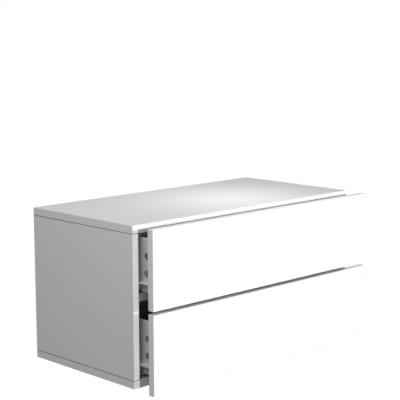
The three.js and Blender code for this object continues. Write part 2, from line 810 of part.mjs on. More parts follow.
// Each drawer with its runners, rollers and push latch. The front spans two heights measured
// from the carcass underside, and the latch sits in the board behind that front.
const drawers = [
  {
    level: 'upper',
    height: upperDrawerHeight,
    front: [(carcassHeight + frontGap) / 2, carcassHeight - frontTopInset],
    latchHeight: railBoltHeight,
  },
  {
    level: 'lower',
    height: lowerDrawerHeight,
    front: [-frontDrop, (carcassHeight - frontGap) / 2],
    latchHeight: bottomThickness / 2,
  },
];

for (const { level, height, front, latchHeight } of drawers) {
  addPair(carcass, `${level}_SIDE_runner`, runner(), 'zincSteel', [left + hairline, runnerSetback, height]);
  addPair(
    carcass,
    `${level}_SIDE_front_roller`,
    roller(frontRollerDiameter),
    'nylon',
    [left + rollerInset, frontRollerSetback, height + frontRollerAxis],
  );
  add(carcass, `${level}_push_latch`, latchSleeve(), 'greyPlastic', [0, 0, latchHeight]);
  add(carcass, `${level}_latch_plunger`, latchPlunger(), 'greyPlastic', [0, 0, latchHeight]);

  const drawer = new THREE.Group();
  drawer.position.set(0, -carcassDepth - drawerOpening, height);
  nightstand.add(drawer);
  const name = `${level}_drawer`;
  const [frontBottom, frontTop] = front;
  const floor = sheet + hairline;
  add(drawer, `${name}_front`, drawerFront(frontTop - frontBottom), 'front', [0, 0, frontBottom - height]);
  addPair(drawer, `${name}_SIDE_side`, drawerSide(), 'coatedSteel', [left, 0, 0]);
  addPair(drawer, `${name}_SIDE_bracket`, frontBracket(), 'zincSteel', [left, 0, 0]);
  add(drawer, `${name}_bottom`, drawerBottom(), 'board', [0, 0, floor]);
  add(
    drawer,
    `${name}_back`,
    drawerBack(),
    'board',
    [0, sideLength - sheet - hairline, floor + drawerBoard + hairline],
  );
  addPair(
    drawer,
    `${level}_SIDE_rear_roller`,
    roller(rearRollerDiameter),
    'nylon',
    [left + rollerInset, sideLength - rearRollerSetback, rearRollerAxis],
  );
}

nightstand.position.z = -wallFaceHeight;

export default nightstand;
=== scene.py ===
# %% [markdown]
# # A floating nightstand, dressed in Blender
# The cabinet hangs on a wall: white foil boards, two handleless drawers standing a little open,
# and bent metal drawer sides on roller runners behind them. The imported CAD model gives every
# piece its real size and place, so the first step loads it and everything after is built around
# it.

# %% Load the frame
import json
import math

import bmesh
import bpy
from mathutils import Matrix, Vector

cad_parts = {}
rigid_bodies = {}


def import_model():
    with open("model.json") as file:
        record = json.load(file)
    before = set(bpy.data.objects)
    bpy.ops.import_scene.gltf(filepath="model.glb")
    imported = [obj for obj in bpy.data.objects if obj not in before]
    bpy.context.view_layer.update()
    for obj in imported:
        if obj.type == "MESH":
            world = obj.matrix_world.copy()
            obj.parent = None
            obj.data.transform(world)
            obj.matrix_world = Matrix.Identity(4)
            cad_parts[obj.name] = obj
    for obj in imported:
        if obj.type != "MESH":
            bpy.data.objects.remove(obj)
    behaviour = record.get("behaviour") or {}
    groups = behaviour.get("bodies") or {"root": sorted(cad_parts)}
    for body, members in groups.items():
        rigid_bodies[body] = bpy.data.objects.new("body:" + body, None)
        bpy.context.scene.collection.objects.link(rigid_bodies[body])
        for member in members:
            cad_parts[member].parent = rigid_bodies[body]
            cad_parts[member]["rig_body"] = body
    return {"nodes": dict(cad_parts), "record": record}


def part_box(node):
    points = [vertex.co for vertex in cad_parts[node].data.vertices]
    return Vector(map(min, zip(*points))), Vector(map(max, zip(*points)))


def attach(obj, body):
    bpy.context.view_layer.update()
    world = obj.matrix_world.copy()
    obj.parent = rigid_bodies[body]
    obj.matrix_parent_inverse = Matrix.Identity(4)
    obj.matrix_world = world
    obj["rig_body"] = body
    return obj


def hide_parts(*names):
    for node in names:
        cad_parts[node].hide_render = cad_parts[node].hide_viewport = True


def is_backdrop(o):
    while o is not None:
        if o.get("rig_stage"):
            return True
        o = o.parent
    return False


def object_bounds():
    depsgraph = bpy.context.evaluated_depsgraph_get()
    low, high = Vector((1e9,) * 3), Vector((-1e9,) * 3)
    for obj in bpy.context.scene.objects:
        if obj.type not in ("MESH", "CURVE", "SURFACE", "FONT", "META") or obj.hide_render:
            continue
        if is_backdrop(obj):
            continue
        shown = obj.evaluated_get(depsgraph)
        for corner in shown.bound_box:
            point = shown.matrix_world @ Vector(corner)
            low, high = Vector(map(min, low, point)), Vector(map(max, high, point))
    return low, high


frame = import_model()
cad_low, cad_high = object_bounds()

MM = 0.001
print("CAD box, mm:", [round(side / MM) for side in cad_high - cad_low])

# %% [markdown]
# ## Hands
# An operator works on whatever is selected, so each helper first lets go of everything, then
# takes hold of one piece. Faces, edges and points are picked by their place or the way that they
# face.

# %% Take hold of a piece
TOUCH, MERGE = 0.02 * MM, 0.002 * MM
SQUARE_ON = 0.9
FEW_CORNERS = 8


def let_go():
    if bpy.context.mode != "OBJECT":
        bpy.ops.object.mode_set(mode="OBJECT")
    bpy.ops.object.select_all(action="DESELECT")


def hold(piece):
    let_go()
    piece.select_set(True)
    bpy.context.view_layer.objects.active = piece
    return piece


def pick(piece, kind, wanted):
    """Goes into edit mode and selects the FACE, EDGE or VERT parts that wanted() accepts."""
    hold(piece)
    bpy.ops.object.mode_set(mode="EDIT")
    bpy.ops.mesh.select_mode(type=kind)
    bpy.ops.mesh.select_all(action="DESELECT")
    shape = bmesh.from_edit_mesh(piece.data)
    parts = {"FACE": shape.faces, "EDGE": shape.edges, "VERT": shape.verts}[kind]
    for part in parts:
        if wanted(part):
            part.select_set(True)
    shape.select_flush_mode()
    bmesh.update_edit_mesh(piece.data)


def every(part):
    return True


def faces_out(piece):
    pick(piece, "FACE", every)
    bpy.ops.mesh.remove_doubles(threshold=MERGE)
    bpy.ops.mesh.normals_make_consistent(inside=False)
    let_go()
    return piece


# %% [markdown]
# A primitive starts at its real size. Its place then goes into its mesh, so that the object
# itself sits at the origin, as the CAD pieces do. Many rods here lie across the cabinet, along X:
# axles, pegs, rollers and the punches for round holes. Their ends are the only faces with many
# corners. A wide rod needs more sides than a thin one to look round.

# %% Start a piece
ROD_SIDES, PIN_SIDES, SCREW_SIDES, WIDE_SIDES = 48, 32, 40, 64


def named(piece, name):
    piece.name = name
    piece.data.name = name
    hold(piece)
    bpy.ops.object.transform_apply(location=True, rotation=True, scale=True)
    return piece


def box_between(name, low, high):
    low, high = Vector(low), Vector(high)
    let_go()
    bpy.ops.mesh.primitive_cube_add(size=1, location=(low + high) / 2, scale=high - low)
    return named(bpy.context.active_object, name)


def rod_between(name, start, end, diameter, sides=ROD_SIDES):
    start, end = Vector(start), Vector(end)
    turn = (end - start).to_track_quat("Z", "Y").to_euler()
    let_go()
    bpy.ops.mesh.primitive_cylinder_add(
        vertices=sides, radius=diameter / 2, depth=(end - start).length,
        location=(start + end) / 2, rotation=turn)
    return named(bpy.context.active_object, name)


def rod_across(name, start_x, end_x, centre, diameter, sides=ROD_SIDES):
    """A rod along X, from one x to another, whose axis runs through a centre."""
    return rod_between(name, (start_x, centre.y, centre.z), (end_x, centre.y, centre.z),
                       diameter, sides)


def round_end(face, way):
    """Whether a face is the end of such a rod that looks to +X or -X."""
    return len(face.verts) > FEW_CORNERS and face.normal.x * way > SQUARE_ON


# %% [markdown]
# Modifiers finish a piece. Booleans cut the holes and weld on the pins, because on the real piece
# these are punched and riveted after the sheet is bent. A cutting tool starts a little outside
# the piece, so that no thin skin is left.

# %% Finish a piece
OVERRUN = 1 * MM


def shaped_by(piece, kind, **settings):
    hold(piece)
    modifier = piece.modifiers.new(kind.title(), kind)
    for setting, value in settings.items():
        setattr(modifier, setting, value)
    bpy.ops.object.modifier_apply(modifier=modifier.name)
    return piece


def joined_with(piece, others, operation):
    for other in others:
        shaped_by(piece, "BOOLEAN", object=other, operation=operation, solver="EXACT")
        bpy.data.objects.remove(other)
    return piece


def cut(piece, *tools):
    return joined_with(piece, tools, "DIFFERENCE")


def weld(piece, *others):
    return joined_with(piece, others, "UNION")


def soften(piece, width, segments=3, angle=40):
    return shaped_by(piece, "BEVEL", width=width, segments=segments, limit_method="ANGLE",
                     angle_limit=math.radians(angle), use_clamp_overlap=True,
                     miter_outer="MITER_ARC")


def shade(piece, angle=35):
    """Smooth over the soft edges, flat on the flats."""
    hold(piece)
    bpy.ops.object.shade_smooth_by_angle(angle=math.radians(angle))
    return shaped_by(piece, "WEIGHTED_NORMAL", keep_sharp=True)


# %% [markdown]
# A piece that repeats is modelled once. Each copy gets its own mesh, turned and moved to its
# place, and a right-hand twin is mirrored across the middle of the cabinet, with its faces turned
# back out. The drawers are alike, so what is made at the upper left is copied to three other
# corners.

# %% Copy a piece
level_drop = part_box("lower_drawer_left_side")[0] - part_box("upper_drawer_left_side")[0]


def copied(piece, name, move=(0, 0, 0), mirror=False, turn=(0, 0, 0)):
    hold(piece)
    bpy.ops.object.duplicate(linked=False)
    double = bpy.context.active_object
    double.rotation_euler = turn
    double.location = move
    double.scale.x = -1 if mirror else 1
    named(double, name)
    return faces_out(double) if mirror else double


def other_corners():
    """Each corner's level and hand, the way there from the upper left, and whether to mirror."""
    for level, move in (("upper", Vector()), ("lower", level_drop)):
        for hand in ("left", "right"):
            if (level, hand) != ("upper", "left"):
                yield level, hand, move, hand == "right"


def middle_of(node):
    low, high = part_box(node)
    return (low + high) / 2


print("one drawer hangs", round(-level_drop.z / MM, 2), "mm below the other")

# %% [markdown]
# Every new piece stands for a CAD node: it rides on that node's body, so that the drawer's pieces
# travel with the drawer, and it is listed under that node, so that it later takes the node's
# finish.

# %% Put a piece in place of a CAD node
slot_of = {part["node"]: part["material_slot"] for part in frame["record"]["subparts"]}
in_place = {}


def stands_for(piece, node):
    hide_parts(node)
    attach(piece, frame["nodes"][node]["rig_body"])
    in_place[node] = piece
    return piece


# %% [markdown]
# ## Drawer fronts
# Each front is one board, foil all round, and it covers the whole face of the cabinet. It could
# stay a CAD block, but its four long edges are what catches the light, so it is modelled here
# with round edges that have several steps. The lower one stops a hair short of its block, because
# the dark line between the two is that much thicker in the photograph.

# %% Drawer fronts
FRONT_EDGE = 1 * MM
CUT_SHORT = {"upper": 0, "lower": 1.2 * MM}

for level, short in CUT_SHORT.items():
    node = f"{level}_drawer_front"
    front_low, front_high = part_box(node)
    front = box_between(f"{level}_front_board", front_low, front_high - Vector((0, 0, short)))
    shade(soften(front, FRONT_EDGE, segments=4))
    stands_for(front, node)
    print(front.name, len(front.data.polygons), "faces")

# %% [markdown]
# ## Bent sheet
# The drawer sides and runners are folded from sheet steel. A real fold is round, and a block with
# a slot cut in it would not show that. So a flat strip is extruded run by run along the section,
# its folds are bevelled round, and it is thickened last, which keeps one gauge all the way.

# %% Fold a strip of sheet
SHEET = 1.2 * MM
FOLD = 1.6 * MM


def folded(name, section, start, end, gauge=SHEET, fold=FOLD):
    """Follows a section of (x, z) places, drawn along Y from start to end."""
    places = [Vector((x, 0, z)) for x, z in section]
    run = places[1] - places[0]
    let_go()
    bpy.ops.mesh.primitive_plane_add(
        size=1, location=(places[0] + places[1]) / 2 + Vector((0, (start + end) / 2, 0)),
        rotation=(0, math.atan2(-run.z, run.x), 0))
    strip = bpy.context.active_object
    strip.scale = (run.length, end - start, 1)
    named(strip, name)

    def lies_at(edge, place):
        return all(math.hypot(point.co.x - place.x, point.co.z - place.z) < TOUCH
                   for point in edge.verts)

    for here, after in zip(places[1:], places[2:]):
        pick(strip, "EDGE", lambda edge: lies_at(edge, here))
        bpy.ops.mesh.extrude_edges_move(TRANSFORM_OT_translate={"value": after - here})
    for place in places[1:-1]:
        pick(strip, "EDGE", lambda edge: lies_at(edge, place))
        bpy.ops.mesh.bevel(offset=fold, segments=5, affect="EDGES")
    faces_out(strip)
    return shaped_by(strip, "SOLIDIFY", thickness=gauge, offset=0, use_even_offset=True)


# %% [markdown]
# ## Metal drawer sides
# A drawer side carries everything: the web with two round holes near the front, the rolled-in top
# edge, a flange under the drawer bottom, and outside a ledge that runs on the front roller and
# slopes up to the web. The four sides are one shape, so the upper left one is made and the others
# copied.

# %% Places on a drawer side
WEB_OUT = 13.9 * MM
LEDGE_UP = 22 * MM
HOLE_BACK = 36.6 * MM
HOLE_SHARES = 0.198, 0.59

inner_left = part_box("left_side_panel")[1].x
side_low, side_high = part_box("upper_drawer_left_side")
web_outside = inner_left + WEB_OUT
web = web_outside + SHEET / 2
ledge_height = side_low.z + LEDGE_UP
hole_y = side_low.y + HOLE_BACK
hole_heights = [ledge_height + share * (side_high.z - ledge_height) for share in HOLE_SHARES]
holes = [Vector((web, hole_y, height)) for height in hole_heights]
print("web at", round(web / MM, 2), "mm, holes at", [round(h / MM, 2) for h in hole_heights])

# %% Metal drawer side
ROLLED_IN, ROLLED_DOWN, FLANGE = 7.6 * MM, 4.2 * MM, 15 * MM
LEDGE_GAP, LEDGE_RISE, LEDGE_ROOT, LEDGE_FOLD = 1.5 * MM, 2.5 * MM, 6 * MM, 2.4 * MM

top_line = side_high.z - SHEET / 2
bottom_line = side_low.z + SHEET / 2
top_fold = web_outside + ROLLED_IN
side = folded("upper_left_metal_side", [
    (top_fold, side_high.z - ROLLED_DOWN), (top_fold, top_line), (web, top_line),
    (web, bottom_line), (web_outside + FLANGE, bottom_line),
], side_low.y, side_high.y)
ledge_line = ledge_height - SHEET / 2
ledge = folded("ledge", [
    (web, ledge_line + LEDGE_RISE + LEDGE_ROOT), (web, ledge_line + LEDGE_RISE),
    (inner_left + LEDGE_GAP, ledge_line),
], side_low.y, side_high.y, fold=LEDGE_FOLD)
weld(side, ledge)
print(side.name, "is", round((side_high.z - side_low.z) / MM, 2), "mm high")

# %% [markdown]
# The back end carries a tab for the drawer's back board and the rear roller's axle with its
# riveted head. The two holes near the front are punched last, straight through the web.

# %% Tab, axle and holes
AXLE, AXLE_HEAD, HEAD_THICK, HEAD_PLAY = 4 * MM, 6.4 * MM, 0.8 * MM, 0.3 * MM
HOLE, PUNCH_REACH = 16 * MM, 3 * MM


def riveted_axle(start_x, head_x, centre, way):
    """An axle and its head, which starts at head_x and points to +X or -X."""
    return (
        rod_across("axle", start_x, head_x + way * HEAD_THICK / 2, centre, AXLE, PIN_SIDES),
        rod_across("head", head_x, head_x + way * HEAD_THICK, centre, AXLE_HEAD, PIN_SIDES))


back_low, back_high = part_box("upper_drawer_back")
tab = box_between("tab", (web, side_high.y - SHEET, back_low.z),
                  (side_high.x, side_high.y, back_high.z))
rear_wheel = middle_of("upper_left_rear_roller")
wheel_low, wheel_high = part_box("upper_left_rear_roller")
weld(side, tab, *riveted_axle(web, wheel_low.x - HEAD_PLAY, rear_wheel, -1))
cut(side, *[rod_across("punch", web - PUNCH_REACH, web + PUNCH_REACH, hole, HOLE, WIDE_SIDES)
            for hole in holes])
shade(side)
print(side.name, len(side.data.polygons), "faces")

# %% Set out the four sides
for level, hand, move, mirror in other_corners():
    stands_for(copied(side, f"{level}_{hand}_metal_side", move, mirror),
               f"{level}_drawer_{hand}_side")
stands_for(side, "upper_drawer_left_side")

# %% [markdown]
# ## Front brackets
# Behind each front a bent bracket is screwed to the board and runs back along the metal side. The
# plate is a cube, cut by bisect where the tongue leaves it, and the tongue is extruded from
# there.

# %% Bracket
PLATE = 2 * MM
TONGUE_PLAY = 0.3 * MM
CAST_EDGE = 0.5 * MM

bracket_low, bracket_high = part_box("upper_drawer_left_bracket")
tongue_face = web_outside + SHEET + TONGUE_PLAY
tongue_back = tongue_face + PLATE
plate_back = side_low.y + PLATE
bracket = box_between("upper_left_front_bracket", (tongue_face, bracket_low.y, bracket_low.z),
                      (bracket_high.x, plate_back, bracket_high.z))
pick(bracket, "FACE", every)
bpy.ops.mesh.bisect(plane_co=(tongue_back, 0, 0), plane_no=(1, 0, 0))
pick(bracket, "FACE", lambda face: (face.normal.y > SQUARE_ON
                                    and face.calc_center_median().x < tongue_back))
bpy.ops.mesh.extrude_region_move(
    TRANSFORM_OT_translate={"value": (0, bracket_high.y - plate_back, 0)})
soften(bracket, CAST_EDGE)
print("tongue reaches back", round((bracket_high.y - plate_back) / MM, 2), "mm")

# %% Screws on the bracket
SCREW_HEAD, SCREW_RISE, SCREW_INSET = 8 * MM, 1.2 * MM, 12 * MM
SCREW_SLOT = 4.4 * MM, 1.1 * MM, 0.8 * MM


def cross_slot(centre, normal_axis, length, width, depth):
    """Two crossed bars that cut a driver slot, sunk along one axis round a centre."""
    bars = []
    for long_axis in [axis for axis in range(3) if axis != normal_axis]:
        half = Vector((width / 2,) * 3)
        half[long_axis] = length / 2
        half[normal_axis] = depth
        bars.append(box_between("bar", Vector(centre) - half, Vector(centre) + half))
    return bars


for height in (bracket_low.z + SCREW_INSET, bracket_high.z - SCREW_INSET):
    root = Vector((tongue_face + SCREW_INSET, plate_back - PLATE / 2, height))
    top = Vector((tongue_face + SCREW_INSET, plate_back + SCREW_RISE, height))
    head = rod_between("head", root, top, SCREW_HEAD, SCREW_SIDES)
    soften(head, CAST_EDGE)
    cut(head, *cross_slot(top, 1, *SCREW_SLOT))
    weld(bracket, head)

# %% [markdown]
# Two round adjusters sit in the bracket and show through the side's holes: a rim, a sunk ring and
# a middle with a slanted driver slot. The bracket is stepped back round each, so a dark ring
# shows there. Each adjuster stays a piece of its own, as it turns on the real bracket.

# %% Seats for the adjusters
ADJUSTER, SEAT_PLAY = 13 * MM, 0.2 * MM
STEP, STEP_DEPTH = 16.6 * MM, 1.1 * MM

for hole in holes:
    before = tongue_face - PLATE
    past = tongue_back + PLATE
    seat = rod_across("seat", before, past, hole, ADJUSTER + SEAT_PLAY, WIDE_SIDES)
    step = rod_across("step", before, tongue_face + STEP_DEPTH, hole, STEP, WIDE_SIDES)
    cut(bracket, seat, step)
shade(bracket)
print(bracket.name, len(bracket.data.polygons), "faces")

# %% Adjusters
DISC_SUNK, DISC_EDGE = 0.4 * MM, 0.3 * MM
RIM, RING, RING_SUNK, MIDDLE_RISE = 1 * MM, 2.3 * MM, 1.2 * MM, 0.9 * MM
DRIVER_HALF = Vector((1.1, 2.5, 0.7)) * MM
DRIVER_SLANT = math.radians(40)


def inset_and_move(thickness, move_x):
    """Leaves a ring round the picked end of a rod and moves what lies within it along X."""
    bpy.ops.mesh.inset(thickness=thickness)
    bpy.ops.mesh.extrude_region_move(TRANSFORM_OT_translate={"value": (move_x, 0, 0)})


discs = []
for hole in holes:
    centre = Vector((web_outside + DISC_SUNK, hole.y, hole.z))
    disc = rod_across("disc", centre.x, tongue_back, hole, ADJUSTER, WIDE_SIDES)
    pick(disc, "FACE", lambda face: round_end(face, -1))
    inset_and_move(RIM, RING_SUNK)
    inset_and_move(RING, -MIDDLE_RISE)
    soften(disc, DISC_EDGE)
    slot = box_between("slot", centre - DRIVER_HALF, centre + DRIVER_HALF)
    pick(slot, "FACE", every)
    bpy.ops.transform.rotate(value=DRIVER_SLANT, orient_axis="X", center_override=centre)
    cut(disc, slot)
    discs.append(shade(disc))
print(len(discs), "adjusters,", len(disc.data.polygons), "faces each")

# %% [markdown]
# ## Rollers
# A nylon roller is turned: a tyre and a hub on a thin disc. It starts as a cylinder. One end is
# inset and pushed in between tyre and hub, then both ends are inset to the bore and bridged
# through.

# %% Roller
def roller(name, node, recess=1 * MM, tyre=1.8 * MM, hub=1.6 * MM, bore=4.6 * MM, edge=0.6 * MM):
    low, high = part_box(node)
    radius = (high.z - low.z) / 2
    wheel = rod_across(name, low.x, high.x, middle_of(node), 2 * radius, WIDE_SIDES)
    soften(wheel, edge, angle=60)
    pick(wheel, "FACE", lambda face: round_end(face, -1))
    inset_and_move(tyre - edge, recess)
    inset_and_move(radius - tyre - hub - bore / 2, -recess)
    bpy.ops.mesh.inset(thickness=hub)
    pick(wheel, "FACE", lambda face: round_end(face, 1))
    bpy.ops.mesh.inset(thickness=radius - edge - bore / 2)
    pick(wheel, "FACE", lambda face: round_end(face, -1) or round_end(face, 1))
    bpy.ops.mesh.delete(type="ONLY_FACE")
    pick(wheel, "EDGE", lambda edge: edge.is_boundary)
    bpy.ops.mesh.bridge_edge_loops()
    return shade(faces_out(wheel))


for end in ("front", "rear"):
    first = f"upper_left_{end}_roller"
    wheel = roller(f"upper_left_{end}_wheel", first)
    print(wheel.name, len(wheel.data.polygons), "faces")
    for level, hand, _, mirror in other_corners():
        node = f"{level}_{hand}_{end}_roller"
        move = (0, 0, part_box(node)[0].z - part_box(first)[0].z)
        stands_for(copied(wheel, f"{level}_{hand}_{end}_wheel", move, mirror), node)
    stands_for(wheel, first)

# %% [markdown]
# ## Runners
# Each runner is a channel screwed to the side panel. Its upper run is cut away at the front,
# where its own roller stands on a riveted axle, and a tab near the front stops the drawer's rear
# roller.

# %% Runner channel
RUNNER_REACH = 11.4 * MM
RUNNER_FLOOR, RUNNER_LIP, RUNNER_ROOF = 1 * MM, 4.2 * MM, 17.7 * MM
WINDOW_PLAY, WINDOW_PAST = 4 * MM, 2 * MM

runner_low, runner_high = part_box("upper_left_runner")
lip_x = inner_left + RUNNER_REACH - SHEET / 2
wall_x = runner_low.x + SHEET / 2
floor_z = side_low.z + RUNNER_FLOOR + SHEET / 2
roof_z = side_low.z + RUNNER_ROOF - SHEET / 2
runner = folded("upper_left_channel", [
    (lip_x, side_low.z + RUNNER_LIP), (lip_x, floor_z), (wall_x, floor_z), (wall_x, roof_z),
    (lip_x, roof_z),
], runner_low.y, runner_high.y)
front_wheel = middle_of("upper_left_front_roller")
front_wheel_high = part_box("upper_left_front_roller")[1]
cut(runner, box_between(
    "window", (wall_x + SHEET / 2, runner_low.y - OVERRUN, front_wheel.z),
    (lip_x + WINDOW_PAST, front_wheel_high.y + WINDOW_PLAY, roof_z + WINDOW_PAST)))
print(runner.name, "is", round((runner_high.y - runner_low.y) / MM, 2), "mm long")

# %% [markdown]
# The stop stands where the rear roller is when the drawer is fully out. That place is counted in
# millimetres from the runner's front end: the side's length, less how far the rear roller sits
# from the side's end, the closed front's gap, the runner's own setback and the drawer's travel.

# %% Axle, screws and stop of the runner
RUNNER_SCREWS = [37, 133, 229]
RUNNER_HEAD, RUNNER_HEAD_RISE = 7 * MM, 0.6 * MM
RUNNER_SLOT = 3.6 * MM, 0.9 * MM, 0.4 * MM
SIDE_LENGTH, WHEEL_SETBACK, CLOSED_GAP, RUNNER_SETBACK, TRAVEL = 300, 12, 2.5, 2, 210
STOP_HEIGHT, STOP_PLAY = 4.6 * MM, 0.3 * MM

weld(runner, *riveted_axle(wall_x, front_wheel_high.x + HEAD_PLAY, front_wheel, 1))
for along in RUNNER_SCREWS:
    centre = Vector((runner_low.x + SHEET + RUNNER_HEAD_RISE, runner_low.y + along * MM,
                     rear_wheel.z))
    head = rod_across("head", wall_x, centre.x, centre, RUNNER_HEAD, SCREW_SIDES)
    cut(head, *cross_slot(centre, 0, *RUNNER_SLOT))
    weld(runner, head)
wheel_out = SIDE_LENGTH - WHEEL_SETBACK - CLOSED_GAP - RUNNER_SETBACK - TRAVEL
stop_end = runner_low.y + wheel_out * MM - (wheel_high.z - wheel_low.z) / 2 - STOP_PLAY
weld(runner, box_between("stop", (wheel_low.x, stop_end - SHEET, roof_z - STOP_HEIGHT),
                         (wheel_high.x, stop_end, roof_z)))
shade(runner)
print(runner.name, len(runner.data.polygons), "faces")

# %% Set out the runners, brackets and adjusters
adjusters = []
for level, hand, move, mirror in other_corners():
    stands_for(copied(runner, f"{level}_{hand}_channel", move, mirror), f"{level}_{hand}_runner")
    stands_for(copied(bracket, f"{level}_{hand}_front_bracket", move, mirror),
               f"{level}_drawer_{hand}_bracket")
    for count, disc in enumerate(discs, 1):
        adjusters.append(copied(disc, f"{level}_{hand}_adjuster_{count}", move, mirror))
stands_for(runner, "upper_left_runner")
stands_for(bracket, "upper_drawer_left_bracket")
for count, disc in enumerate(discs, 1):
    adjusters.append(named(disc, f"upper_left_adjuster_{count}"))
for adjuster in adjusters:
    level = adjuster.name.split("_")[0]
    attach(adjuster, f"{level}_drawer")
print(len(adjusters), "adjusters set out")

# %% [markdown]
# ## Wall rail, hooks and hangers
# The cabinet hangs from a jogged steel rail with slots for the wall screws. In each top corner a
# plastic hanger holds a steel hook that reaches back over the rail. All of it shows from behind.

# %% Wall rail
RAIL = 2 * MM
HOOK, HOOK_WALL_GAP, HOOK_PLAY = 2.5 * MM, 0.5 * MM, 0.3 * MM
JOG_START, JOG_END = 24 * MM, 28 * MM
SLOTS, SLOT_PITCH = 6, 96 * MM
SLOT_LONG, SLOT_WIDE, SLOT_UP = 14 * MM, 6.5 * MM, 12 * MM


def turn_along_x(piece):
    """A strip folded along Y gets a quarter turn: its x becomes y, and its y becomes -x."""
    piece.rotation_euler.z = math.radians(90)
    return named(piece, piece.name)


rail_low, rail_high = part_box("wall_rail")
flat_y = -RAIL / 2
lip_y = -HOOK_WALL_GAP - HOOK - HOOK_PLAY - RAIL / 2
wall_rail = turn_along_x(folded("wall_strip", [
    (flat_y, rail_low.z), (flat_y, rail_low.z + JOG_START), (lip_y, rail_low.z + JOG_END),
    (lip_y, rail_high.z),
], rail_low.x, rail_high.x, gauge=RAIL, fold=RAIL))
for count in range(SLOTS):
    centre = Vector(((count - (SLOTS - 1) / 2) * SLOT_PITCH, -RAIL / 2, rail_low.z + SLOT_UP))
    reach = Vector((0, RAIL, 0))
    half = Vector(((SLOT_LONG - SLOT_WIDE) / 2, 0, 0))
    slot = rod_between("slot", centre - half - reach, centre - half + reach, SLOT_WIDE,
                       PIN_SIDES)
    pick(slot, "VERT", lambda point: point.co.x > centre.x - half.x)
    bpy.ops.transform.translate(value=2 * half)
    cut(wall_rail, slot)
shade(wall_rail)
stands_for(wall_rail, "wall_rail")
print(wall_rail.name, len(wall_rail.data.polygons), "faces")

# %% Hooks
HOOK_FOLD, HOOK_EDGE = 2.1 * MM, 0.3 * MM

hook_low, hook_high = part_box("left_hanger_hook")
arm_z = hook_high.z - HOOK / 2
tongue_y = hook_high.y - HOOK / 2
hook = turn_along_x(folded(
    "left_hook", [(hook_low.y, arm_z), (tongue_y, arm_z), (tongue_y, hook_low.z)],
    -hook_high.x, -hook_low.x, gauge=HOOK, fold=HOOK_FOLD))
soften(hook, HOOK_EDGE, segments=2, angle=60)
shade(hook)
stands_for(copied(hook, "right_hook", mirror=True), "right_hanger_hook")
stands_for(hook, "left_hanger_hook")
print(hook.name, len(hook.data.polygons), "faces")

# %% [markdown]
# The hanger's housing is a moulded block with pegs that fill holes in the side panel. Its front
# has two screws to raise and draw in the cabinet, and its back has the slot that the hook comes
# out of.

# %% Hanger housing
HANGER_EDGE = 2 * MM
PEG, PEG_ROOT, UPPER_PEG_DOWN, LOWER_PEG_UP = 8 * MM, 3 * MM, 14.7 * MM, 15.3 * MM
SOCKET_PLAY, SOCKET_DEPTH = 0.3 * MM, 8 * MM

hang_low, hang_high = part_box("left_hanger")
hanger = box_between("left_hanger_housing", (inner_left, hang_low.y, hang_low.z), hang_high)
soften(hanger, HANGER_EDGE, segments=4)
peg_y = (hang_low.y + hang_high.y) / 2
for peg_z in (hang_high.z - UPPER_PEG_DOWN, hang_low.z + LOWER_PEG_UP):
    weld(hanger, rod_across("peg", inner_left + PEG_ROOT, hang_low.x, Vector((0, peg_y, peg_z)),
                            PEG, PIN_SIDES))
arm_room = HOOK / 2 + SOCKET_PLAY
cut(hanger, box_between(
    "socket", (hook_low.x - SOCKET_PLAY, hang_high.y - SOCKET_DEPTH, arm_z - arm_room),
    (hook_high.x + SOCKET_PLAY, hang_high.y + OVERRUN, arm_z + arm_room)))
print(hanger.name, len(hanger.data.polygons), "faces before its screws")

# %% Hanger screws
WELL, WELL_DEPTH = 9 * MM, 2 * MM
HANGER_SCREW, HANGER_SCREW_ROOT, HANGER_SCREW_SUNK = 7 * MM, 4 * MM, 0.3 * MM
HANGER_SLOT = 4.6 * MM, 1.2 * MM, 1.4 * MM
HANGER_SCREWS = 16 * MM, 44 * MM

for along in HANGER_SCREWS:
    centre = Vector((inner_left + along, hang_low.y, (hang_low.z + hang_high.z) / 2))
    cut(hanger, rod_between("well", centre + Vector((0, WELL_DEPTH, 0)),
                            centre - Vector((0, OVERRUN, 0)), WELL))
    top = centre + Vector((0, HANGER_SCREW_SUNK, 0))
    screw = rod_between("screw", centre + Vector((0, HANGER_SCREW_ROOT, 0)), top,
                        HANGER_SCREW, SCREW_SIDES)
    soften(screw, CAST_EDGE, segments=2)
    cut(screw, *cross_slot(top, 1, *HANGER_SLOT))
    weld(hanger, screw)
shade(hanger)
stands_for(copied(hanger, "right_hanger_housing", mirror=True), "right_hanger")
stands_for(hanger, "left_hanger")
print(hanger.name, len(hanger.data.polygons), "faces")

# %% [markdown]
# ## Cam fittings
# The boards are drawn together by round zinc cams, each sunk in a pocket on a board's inner face
# with its steel bolt running into the next board. One fitting is modelled lying as the upper left
# front one does, and the others are turned or mirrored from it.

# %% Cam fitting
CAM, CAM_DEPTH, CAM_INSET = 14.4 * MM, 11.9 * MM, 24 * MM
CAM_SLOT = 9 * MM, 1.8 * MM, 2.4 * MM
BOLT, BOLT_THREAD = 6.4 * MM, 5 * MM

cam_low, cam_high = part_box("left_upper_front_cam")
panel_low, panel_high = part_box("left_side_panel")
cam_y = (cam_low.y + cam_high.y) / 2
cam_face = Vector((cam_high.x, cam_y, panel_high.z - CAM_INSET))
cam = rod_across("left_upper_front_fitting", cam_face.x, cam_face.x - CAM_DEPTH, cam_face, CAM)
soften(cam, CAST_EDGE, angle=60)
cut(cam, *cross_slot(cam_face, 0, *CAM_SLOT))
bolt_x = (panel_low.x + inner_left) / 2
bolt_start = Vector((bolt_x, cam_y, cam_face.z))
weld(cam,
     rod_between("bolt", bolt_start, (bolt_x, cam_y, panel_high.z), BOLT, PIN_SIDES),
     rod_between("thread", bolt_start, (bolt_x, cam_y, cam_high.z), BOLT_THREAD, PIN_SIDES))
shade(cam)
print(cam.name, len(cam.data.polygons), "faces")

# %% Set out the fittings
HALF_TURN = math.pi


